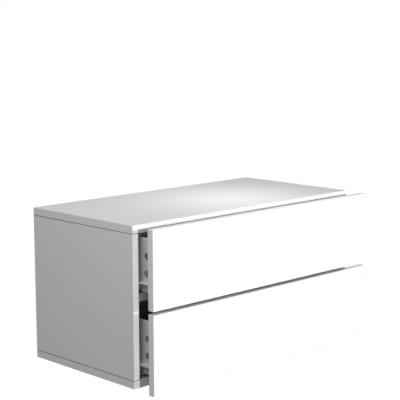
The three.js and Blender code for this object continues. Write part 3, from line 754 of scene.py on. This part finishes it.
def flipped_down(piece, name, node):
    """Half a turn about the X axis, for a joint with the bottom panel."""
    move = (0, cam_y + middle_of(node).y, cam_high.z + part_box(node)[0].z)
    return copied(piece, name, move, turn=(HALF_TURN, 0, 0))


fittings = {}
for end in ("front", "rear"):
    upper_node, lower_node = f"left_upper_{end}_cam", f"left_lower_{end}_cam"
    upper = cam
    if end == "rear":
        move = (0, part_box(upper_node)[0].y - cam_low.y, 0)
        upper = copied(cam, "left_upper_rear_fitting", move)
    fittings[upper_node] = upper
    fittings[lower_node] = flipped_down(cam, f"left_lower_{end}_fitting", lower_node)

rail_cam_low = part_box("left_rail_cam")[0]
move = (rail_cam_low.x + cam_high.z, middle_of("left_rail_cam").y + cam_y,
        rail_cam_low.z + cam_face.x)
fittings["left_rail_cam"] = copied(cam, "left_rail_fitting", move,
                                   turn=(HALF_TURN, HALF_TURN / 2, 0))
for node, fitting in fittings.items():
    twin = copied(fitting, fitting.name.replace("left", "right"), mirror=True)
    stands_for(twin, node.replace("left", "right"))
for node, fitting in fittings.items():
    stands_for(fitting, node)
print(2 * len(fittings), "fittings")

# %% [markdown]
# ## Push latches
# With no handles, a push on the front frees the drawer. Each latch is a sleeve in a board's front
# edge with a sprung plunger whose tip stands a little proud.

# %% Push latches
SLEEVE, SLEEVE_SUNK, SLEEVE_BORE, SLEEVE_FLOOR = 10 * MM, 0.4 * MM, 6.6 * MM, 1.7 * MM
FLANGE_WIDE, FLANGE_THICK, FLANGE_EDGE = 13 * MM, 0.75 * MM, 0.25 * MM
PLUNGER, TIP_ROUND = 6 * MM, 1.4 * MM


def rod_along_y(name, start_y, end_y, z, diameter):
    return rod_between(name, (0, start_y, z), (0, end_y, z), diameter)


for level in ("upper", "lower"):
    low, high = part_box(f"{level}_push_latch")
    tip_low, tip_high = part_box(f"{level}_latch_plunger")
    axis_z = (low.z + high.z) / 2
    sleeve = rod_along_y(f"{level}_latch_sleeve", low.y + SLEEVE_SUNK, high.y, axis_z, SLEEVE)
    flange = rod_along_y("flange", low.y, low.y + FLANGE_THICK, axis_z, FLANGE_WIDE)
    soften(flange, FLANGE_EDGE, segments=2)
    weld(sleeve, flange)
    cut(sleeve, rod_along_y("bore", low.y - OVERRUN, high.y - SLEEVE_FLOOR, axis_z, SLEEVE_BORE))
    stands_for(shade(sleeve), f"{level}_push_latch")
    plunger = rod_along_y(f"{level}_plunger_pin", tip_low.y, tip_high.y, axis_z, PLUNGER)
    pick(plunger, "FACE", lambda face: face.normal.y < -SQUARE_ON)
    bpy.ops.mesh.bevel(offset=TIP_ROUND, segments=5, affect="EDGES")
    stands_for(shade(plunger), f"{level}_latch_plunger")
    print(sleeve.name, "and", plunger.name)

# %% [markdown]
# ## Surfaces
# A helper adds a shader node and wires it in one go: what comes from another node is linked, and
# any other value is written into its socket. Sums and blends of two colours have short helpers
# too.

# %% Shader helpers
def feed(tree, sockets, values):
    for label, value in values.items():
        if isinstance(value, bpy.types.NodeSocket):
            tree.links.new(value, sockets[label])
        else:
            sockets[label].default_value = value


def add_node(tree, kind, inputs=None, **settings):
    made = tree.nodes.new("ShaderNode" + kind)
    for setting, value in settings.items():
        setattr(made, setting, value)
    feed(tree, made.inputs, inputs or {})
    return made


def worked_out(tree, operation, *values, kind="Math"):
    return add_node(tree, kind, dict(enumerate(values)), operation=operation).outputs[0]


def mixed(tree, factor, first, second):
    """A colour between two others: the Mix node's colours are its sockets 6, 7 and 2."""
    inputs = {"Factor": factor, 6: first, 7: second}
    return add_node(tree, "Mix", inputs, data_type="RGBA").outputs[2]


def new_group(name, inputs, outputs):
    tree = bpy.data.node_groups.new(name, "ShaderNodeTree")
    for label, kind in inputs.items():
        tree.interface.new_socket(label, in_out="INPUT", socket_type="NodeSocket" + kind)
    for label, kind in outputs.items():
        tree.interface.new_socket(label, in_out="OUTPUT", socket_type="NodeSocket" + kind)
    entry = tree.nodes.new("NodeGroupInput").outputs
    return tree, entry, tree.nodes.new("NodeGroupOutput").inputs


def use_group(tree, group, **values):
    made = tree.nodes.new("ShaderNodeGroup")
    made.node_tree = group
    feed(tree, made.inputs, values)
    return made.outputs


# %% [markdown]
# One group gives every finish its life: a slow drift of colour, a fine grain, a roughness that
# wanders between two values and a bump to match the grain.

# %% Group: living surface
TONE_FROM, TONE_TO = 0.12, 0.4
DRIFT_FROM, DRIFT_TO = 0.3, 0.7

surface, into, out = new_group("Living Surface", {
    "Position": "Vector", "Stretch": "Vector", "Grain": "Float", "Drift": "Float",
    "Light": "Color", "Shade": "Color", "Smooth": "Float", "Rough": "Float", "Relief": "Float",
}, {"Color": "Color", "Roughness": "Float", "Normal": "Vector"})
stretched = worked_out(surface, "MULTIPLY", into["Position"], into["Stretch"], kind="VectorMath")
grain = add_node(surface, "TexNoise",
                 {"Vector": stretched, "Scale": into["Grain"], "Detail": 3.0}).outputs["Fac"]
drift = add_node(surface, "TexNoise",
                 {"Vector": stretched, "Scale": into["Drift"], "Detail": 2.0}).outputs["Fac"]
blend = worked_out(surface, "MULTIPLY", grain, drift)
tone = add_node(surface, "MapRange", {"Value": blend, "From Min": TONE_FROM, "From Max": TONE_TO})
gloss = add_node(surface, "MapRange", {
    "Value": drift, "From Min": DRIFT_FROM, "From Max": DRIFT_TO, "To Min": into["Smooth"],
    "To Max": into["Rough"]})
bump = add_node(surface, "Bump", {"Strength": 1.0, "Distance": into["Relief"], "Height": grain})
feed(surface, out, {
    "Color": mixed(surface, tone.outputs[0], into["Shade"], into["Light"]),
    "Roughness": gloss.outputs[0], "Normal": bump.outputs[0],
})
print(surface.name, len(surface.nodes), "nodes")

# %% [markdown]
# A foil board isn't one surface. Its broad faces are foil, its narrow edges are a separate band,
# a touch warmer and duller, and wherever a pocket or groove is cut into it the raw chipboard
# shows. This group tells them apart from the way a face points and how deep a point lies in the
# board.

# %% Group: board zones
CORE_DEPTH = 0.9 * MM


def depths_in_box(tree, into):
    """How far in a point lies from the nearer side of a box, along X, Y and Z."""
    from_low = worked_out(tree, "SUBTRACT", into["Position"], into["Low"], kind="VectorMath")
    from_high = worked_out(tree, "SUBTRACT", into["High"], into["Position"], kind="VectorMath")
    nearest = worked_out(tree, "MINIMUM", from_low, from_high, kind="VectorMath")
    return add_node(tree, "SeparateXYZ", {0: nearest}).outputs


zones, into, out = new_group("Board Zones", {
    "Position": "Vector", "Facing": "Vector", "Low": "Vector", "High": "Vector",
    "Taped": "Vector",
}, {"Edge": "Float", "Core": "Float"})
lined_up = add_node(zones, "VectorMath", {0: into["Facing"], 1: into["Taped"]},
                    operation="DOT_PRODUCT").outputs["Value"]
turned = worked_out(zones, "ABSOLUTE", lined_up)
depths = depths_in_box(zones, into)
least = worked_out(zones, "MINIMUM", worked_out(zones, "MINIMUM", depths[0], depths[1]), depths[2])
feed(zones, out, {"Edge": worked_out(zones, "GREATER_THAN", turned, SQUARE_ON),
                  "Core": worked_out(zones, "GREATER_THAN", least, CORE_DEPTH)})
print(zones.name, len(zones.nodes), "nodes")

# %% [markdown]
# Where a side panel meets the top or bottom panel, the small round edges leave a groove that
# light hardly reaches. The geometry has the groove, and this group paints shade and dust on its
# floor: close to the height of a joint, on the cabinet's outer skin, and no further in than a
# side panel is thick.

# %% Group: painted joint shade
FULLY_DARK = 0.45

joint_shade_group, into, out = new_group("Joint Line", {
    "Position": "Vector", "Low": "Vector", "High": "Vector", "Upper": "Float", "Lower": "Float",
    "Width": "Float", "Panel": "Float",
}, {"Depth": "Float"})
height = add_node(joint_shade_group, "SeparateXYZ", {0: into["Position"]}).outputs[2]
off_upper, off_lower = [
    worked_out(joint_shade_group, "ABSOLUTE", worked_out(joint_shade_group, "SUBTRACT", height, into[joint]))
    for joint in ("Upper", "Lower")]
groove = add_node(joint_shade_group, "MapRange", {
    "Value": worked_out(joint_shade_group, "MINIMUM", off_upper, off_lower), "From Min": into["Width"],
    "From Max": worked_out(joint_shade_group, "MULTIPLY", into["Width"], FULLY_DARK)}).outputs[0]
depths = depths_in_box(joint_shade_group, into)
shallow = worked_out(joint_shade_group, "MINIMUM", depths[0], depths[1])
on_skin = worked_out(joint_shade_group, "LESS_THAN", shallow, into["Width"])
at_panel = worked_out(joint_shade_group, "LESS_THAN", depths[0], into["Panel"])
groove = worked_out(joint_shade_group, "MULTIPLY", worked_out(joint_shade_group, "MULTIPLY", groove, on_skin), at_panel)
feed(joint_shade_group, out, {"Depth": groove})
print(joint_shade_group.name, len(joint_shade_group.nodes), "nodes")

# %% [markdown]
# Chipboard is a bed of small chips, each its own brown. A Voronoi texture gives every chip one
# value, and a ramp turns that into a tone between a dark and a pale wood.

# %% Group: chipboard
CHIPS_PER_METRE = 900.0
DARK_CHIP, PALE_CHIP = (0.23, 0.13, 0.06, 1), (0.56, 0.4, 0.24, 1)

chipboard, into, out = new_group("Chipboard", {"Position": "Vector"}, {"Color": "Color"})
chips = add_node(chipboard, "TexVoronoi", {"Vector": into["Position"], "Scale": CHIPS_PER_METRE})
chip_tone = add_node(chipboard, "ValToRGB", {"Fac": chips.outputs["Color"]})
chip_tone.color_ramp.elements[0].color = DARK_CHIP
chip_tone.color_ramp.elements[1].color = PALE_CHIP
feed(chipboard, out, {"Color": chip_tone.outputs[0]})
print(chipboard.name, len(chipboard.nodes), "nodes")

# %% [markdown]
# ## Finishes
# Each finish is a material of its own. The shader and its fixed values stay in the material, and
# the groups above feed what changes from place to place.

# %% Start a finish
def new_finish(name, metallic=0.0, specular=0.5, coat=0.0, coat_roughness=0.1):
    material = bpy.data.materials.new(name)
    material.use_nodes = True
    tree = material.node_tree
    shader = tree.nodes["Principled BSDF"].inputs
    shader["Metallic"].default_value = metallic
    shader["Specular IOR Level"].default_value = specular
    shader["Coat Weight"].default_value = coat
    shader["Coat Roughness"].default_value = coat_roughness
    return material, tree, shader, tree.nodes.new("ShaderNodeTexCoord").outputs


def plain_finish(name, light, shaded, smooth, rough, grain, drift, relief, stretch=(1, 1, 1),
                 **shader_values):
    material, tree, shader, place = new_finish(name, **shader_values)
    skin = use_group(tree, surface, Position=place["Object"], Stretch=stretch, Grain=grain,
                     Drift=drift, Light=(*light, 1), Shade=(*shaded, 1), Smooth=smooth,
                     Rough=rough, Relief=relief)
    feed(tree, shader, {"Base Color": skin["Color"], "Roughness": skin["Roughness"],
                        "Normal": skin["Normal"]})
    return material


def dress(piece, finish):
    piece.data.materials.clear()
    piece.data.materials.append(finish)


# %% [markdown]
# A foil board's finish knows its own board: its box, and the way its taped edge faces. The
# carcass is white, with painted shade and dust along its joints, the fronts are glossier, and the
# boards inside are a grey foil whose grey is partly painted shade, darkening the openings.

# %% Foil on a board
FOIL_GRAIN, FOIL_DRIFT, FOIL_RELIEF = 700.0, 3.0, 0.02 * MM
JOINT_WIDTH, JOINT_SHADE_AND_DUST = 0.95 * MM, (0.03, 0.03, 0.03, 1)
CORE_ROUGH = 0.9
top_low, top_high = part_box("top_panel")
bottom_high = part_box("bottom_panel")[1]


def board_finish(name, node, tape, foil, polish, shaded_joints=False, specular=0.2, short=0):
    """A foil's two tones and its band's, and a polish of its smoothest and roughest."""
    material, tree, shader, place = new_finish(name, specular=specular)
    light, shaded, band = [(*colour, 1) for colour in foil]
    low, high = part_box(node)
    high.z -= short
    skin = use_group(tree, surface, Position=place["Object"], Stretch=(1, 1, 1),
                     Grain=FOIL_GRAIN, Drift=FOIL_DRIFT, Light=light, Shade=shaded,
                     Smooth=polish[0], Rough=polish[1], Relief=FOIL_RELIEF)
    zone = use_group(tree, zones, Position=place["Object"], Facing=place["Normal"], Low=low,
                     High=high, Taped=tape)
    raw = use_group(tree, chipboard, Position=place["Object"])
    painted = mixed(tree, zone["Edge"], skin["Color"], band)
    painted = mixed(tree, zone["Core"], painted, raw["Color"])
    # The outer boards get painted shade, with some dust, along their joint grooves.
    if shaded_joints:
        line = use_group(tree, joint_shade_group, Position=place["Object"], Low=top_low, High=top_high,
                         Upper=top_low.z, Lower=bottom_high.z, Width=JOINT_WIDTH,
                         Panel=panel_high.x - panel_low.x)
        painted = mixed(tree, line["Depth"], painted, JOINT_SHADE_AND_DUST)
    dull = add_node(tree, "MapRange", {"Value": zone["Core"], "To Min": skin["Roughness"],
                                       "To Max": CORE_ROUGH})
    feed(tree, shader, {"Base Color": painted, "Roughness": dull.outputs[0],
                        "Normal": skin["Normal"]})
    return material


# %% Foil boards
WHITE = (0.87, 0.873, 0.878), (0.845, 0.85, 0.857), (0.868, 0.86, 0.85)
# The inner boards' grey is a real grey foil, and it is also painted shade for the dark openings.
GREY_AND_PAINTED_SHADE = (0.6, 0.602, 0.605), (0.57, 0.573, 0.578), (0.6, 0.596, 0.59)
GLOSS_WHITE = (0.9, 0.9, 0.905), (0.885, 0.885, 0.89), (0.88, 0.88, 0.88)
SATIN, HIGH_GLOSS = (0.36, 0.44), (0.16, 0.2)
X, Y, Z = (1, 0, 0), (0, 1, 0), (0, 0, 1)

outer_boards = {"top_panel": Y, "bottom_panel": Y, "left_side_panel": Y, "right_side_panel": Y}
inner_boards = {"mid_rail": Y, "upper_drawer_bottom": Y, "lower_drawer_bottom": Y,
                "upper_drawer_back": Z, "lower_drawer_back": Z}
for node, tape in outer_boards.items():
    dress(frame["nodes"][node],
          board_finish(f"white foil on {node}", node, tape, WHITE, SATIN, shaded_joints=True))
for node, tape in inner_boards.items():
    dress(frame["nodes"][node],
          board_finish(f"light grey foil on {node}", node, tape, GREY_AND_PAINTED_SHADE, SATIN))
for level, short in CUT_SHORT.items():
    node = f"{level}_drawer_front"
    dress(in_place[node],
          board_finish(f"gloss foil on {node}", node, X, GLOSS_WHITE, HIGH_GLOSS, specular=0.5,
                       short=short))
print(len(outer_boards) + len(inner_boards) + len(CUT_SHORT), "foil boards")

# %% [markdown]
# The other finishes differ in their two tones, gloss, grain and drift. The grain of zinc plated
# sheet is drawn out, because sheet is rolled in one direction, and so is that of beech, whose
# fibres run up the corner dowels.

# %% Metal, plastic and wood
finishes = {
    "back_board": plain_finish(
        "white hardboard", light=(0.82, 0.82, 0.81), shaded=(0.76, 0.76, 0.75),
        smooth=0.6, rough=0.75, grain=900, drift=8, relief=0.05 * MM),
    "coated_steel": plain_finish(
        "warm grey powder coat", light=(0.83, 0.815, 0.765), shaded=(0.77, 0.755, 0.705),
        smooth=0.34, rough=0.46, grain=1500, drift=12, relief=0.03 * MM, coat=0.1),
    "zinc_steel": plain_finish(
        "zinc plated steel", light=(0.68, 0.69, 0.7), shaded=(0.52, 0.53, 0.54),
        smooth=0.26, rough=0.42, grain=400, drift=40, relief=0.01 * MM,
        stretch=(6, 0.5, 6), metallic=1.0),
    # The cast zinc is kept darker than bare zinc: painted shade for the adjusters in shadow behind
    # the holes.
    "cast_zinc": plain_finish(
        "cast zinc", light=(0.34, 0.34, 0.34), shaded=(0.22, 0.22, 0.22),
        smooth=0.4, rough=0.56, grain=1200, drift=90, relief=0.05 * MM, metallic=1.0),
    "nylon": plain_finish(
        "moulded nylon", light=(0.78, 0.77, 0.73), shaded=(0.72, 0.71, 0.67),
        smooth=0.4, rough=0.52, grain=800, drift=60, relief=0.02 * MM),
    "grey_plastic": plain_finish(
        "grey moulded plastic", light=(0.27, 0.275, 0.28), shaded=(0.23, 0.235, 0.24),
        smooth=0.45, rough=0.6, grain=2200, drift=50, relief=0.04 * MM),
    "beech": plain_finish(
        "bare beech", light=(0.66, 0.47, 0.28), shaded=(0.5, 0.33, 0.18),
        smooth=0.6, rough=0.8, grain=300, drift=60, relief=0.05 * MM, stretch=(8, 8, 0.6)),
}
for node, block in frame["nodes"].items():
    if slot_of[node] in finishes:
        dress(in_place.get(node, block), finishes[slot_of[node]])
for adjuster in adjusters:
    dress(adjuster, finishes["cast_zinc"])
print(len(bpy.data.materials), "materials")

# %% [markdown]
# ## Floor and backdrop
# A floating cabinet casts no shadow near itself, so the floor lies well below. It is pale, and a
# share of its brightness is shown only to the camera and to reflections, which keeps the
# picture's background white without throwing more light on the cabinet. The backdrop works the
# same way.

# %% Floor
FLOOR_DROP, FLOOR_SIZE = 450 * MM, 24
FLOOR_PAINT, FLOOR_GLOW = 0.4, 0.9


def only_seen(tree):
    """1 for a ray from the camera, a reflection or glass, and 0 for one that carries light."""
    rays = tree.nodes.new("ShaderNodeLightPath").outputs
    seen = worked_out(tree, "MAXIMUM", rays["Is Camera Ray"], rays["Is Glossy Ray"])
    return worked_out(tree, "MAXIMUM", seen, rays["Is Transmission Ray"])


let_go()
bpy.ops.mesh.primitive_plane_add(size=FLOOR_SIZE, location=(0, 0, cad_low.z - FLOOR_DROP))
floor = named(bpy.context.active_object, "floor")
floor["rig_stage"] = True
pale_floor = bpy.data.materials.new("pale floor")
pale_floor.use_nodes = True
tree = pale_floor.node_tree
tree.nodes.remove(tree.nodes["Principled BSDF"])
seen = only_seen(tree)
paint = add_node(tree, "BsdfDiffuse", {"Color": (FLOOR_PAINT, FLOOR_PAINT, FLOOR_PAINT, 1)})
glow = add_node(tree, "Emission", {"Color": (1, 1, 1, 1), "Strength": FLOOR_GLOW})
nothing = add_node(tree, "Emission", {"Color": (0, 0, 0, 1), "Strength": 0.0})
shown = add_node(tree, "MixShader", {0: seen, 1: nothing.outputs[0], 2: glow.outputs[0]})
both = add_node(tree, "AddShader", {0: paint.outputs[0], 1: shown.outputs[0]})
feed(tree, tree.nodes["Material Output"].inputs, {"Surface": both.outputs[0]})
dress(floor, pale_floor)
print("floor at", round((cad_low.z - FLOOR_DROP) / MM), "mm")

# %% Backdrop
WORLD_GLOW, WORLD_SHOWN = 0.01, 1.0

world = bpy.data.worlds.new("studio")
bpy.context.scene.world = world
world.use_nodes = True
tree = world.node_tree
strength = add_node(tree, "MapRange", {"Value": only_seen(tree), "To Min": WORLD_GLOW,
                                       "To Max": WORLD_SHOWN})
feed(tree, tree.nodes["Background"].inputs, {"Color": (1, 1, 1, 1),
                                             "Strength": strength.outputs[0]})
print(world.name, len(tree.nodes), "nodes")

# %% [markdown]
# ## Light
# The light is a studio's. Two low lights share the fronts: a sharp key, which slips through the
# gap between them, and a softer one a little to the left, which reaches past their ends. A broad
# one on the right fills from above. A soft one hangs close by, high on the left, so that the left
# side fades towards its lower rear corner, and a small one over the top leaves a bright pool
# there. The photograph doesn't show the back and the right side, and two lights as low as the
# floor allows keep those readable without changing it.

# %% Studio lights
FAR_OFF = 3
POOL_X, POOL_Y, POOL_LIGHT_UP = 60 * MM, -240 * MM, 280 * MM


def hung_light(name, data, location, way):
    made = bpy.data.objects.new(name, data)
    made.location = location
    made.rotation_euler = Vector(way).to_track_quat("-Z", "Y").to_euler()
    bpy.context.scene.collection.objects.link(made)
    made.visible_camera = False
    return made


def far_light(name, level, from_left, height, spread):
    """An even light from far off. Angles are in degrees, and at level 1 a dull face square to it
    shows its own colour."""
    data = bpy.data.lights.new(name, "SUN")
    data.energy = level * math.pi
    data.angle = math.radians(spread)
    turn, rise = math.radians(from_left), math.radians(height)
    way = Vector((math.sin(turn) * math.cos(rise), math.cos(turn) * math.cos(rise),
                  -math.sin(rise)))
    return hung_light(name, data, -FAR_OFF * way, way)


def near_light(name, watts, width, location, target, color=(1, 1, 1)):
    """A round one beside the cabinet, which fades across it."""
    data = bpy.data.lights.new(name, "AREA")
    data.shape = "DISK"
    data.energy = watts
    data.size = width
    data.color = color
    return hung_light(name, data, location, Vector(target) - Vector(location))


far_light("key", level=0.43, from_left=-3, height=10.5, spread=0.5)
far_light("left_front", level=0.54, from_left=17.5, height=9, spread=6)
far_light("right_front", level=0.135, from_left=-25, height=33, spread=60)
far_light("behind", level=0.4, from_left=180, height=3, spread=6)
far_light("far_right", level=0.27, from_left=-108, height=3, spread=6)
near_light("high_left", watts=4.9, width=0.8, location=(-1.0, -0.62, 0.84),
           target=(-0.2, -0.3, 0), color=(0.97, 0.975, 0.985))
near_light("over_the_top", watts=0.5, width=0.2,
           location=(POOL_X, POOL_Y, cad_high.z + POOL_LIGHT_UP),
           target=(POOL_X, POOL_Y, cad_high.z))
print(len(bpy.data.lights), "lights")

# %% [markdown]
# ## Camera
# The camera was placed from the cabinet's own straight edges in the photograph: their vanishing
# points give the heading, tilt and focal length, and the boards' known sizes give the distance.

# %% Camera
HEADING, TILT, ROLL = math.radians(44.4105), math.radians(-8.9136), math.radians(-0.1667)
STAND = (-1.9421, -2.1666, 0.4934)
LENS, FILM = 105.205, 36

ahead = Vector((math.sin(HEADING) * math.cos(TILT), math.cos(HEADING) * math.cos(TILT),
                math.sin(TILT)))
level_right = ahead.cross(Vector((0, 0, 1))).normalized()
level_up = level_right.cross(ahead)
right = math.cos(ROLL) * level_right + math.sin(ROLL) * level_up
up = math.cos(ROLL) * level_up - math.sin(ROLL) * level_right
camera_data = bpy.data.cameras.new("camera")
camera_data.lens = LENS
camera_data.sensor_width = FILM
camera = bpy.data.objects.new("camera", camera_data)
bpy.context.scene.collection.objects.link(camera)
camera.matrix_world = Matrix.Translation(STAND) @ Matrix((right, up, -ahead)).transposed().to_4x4()
bpy.context.scene.camera = camera
bpy.context.scene.view_settings.view_transform = "Standard"
print("camera", round(camera.matrix_world.translation.length, 3), "m from the origin")

# %% [markdown]
# ## Sizes
# The dressed model's box is printed, as the CAD model's box is at the start. The
# dressed model has to fill the same box as the CAD model.

# %% Sizes and finish
low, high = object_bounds()
print("visual box, mm:", [round(side / MM, 1) for side in high - low])
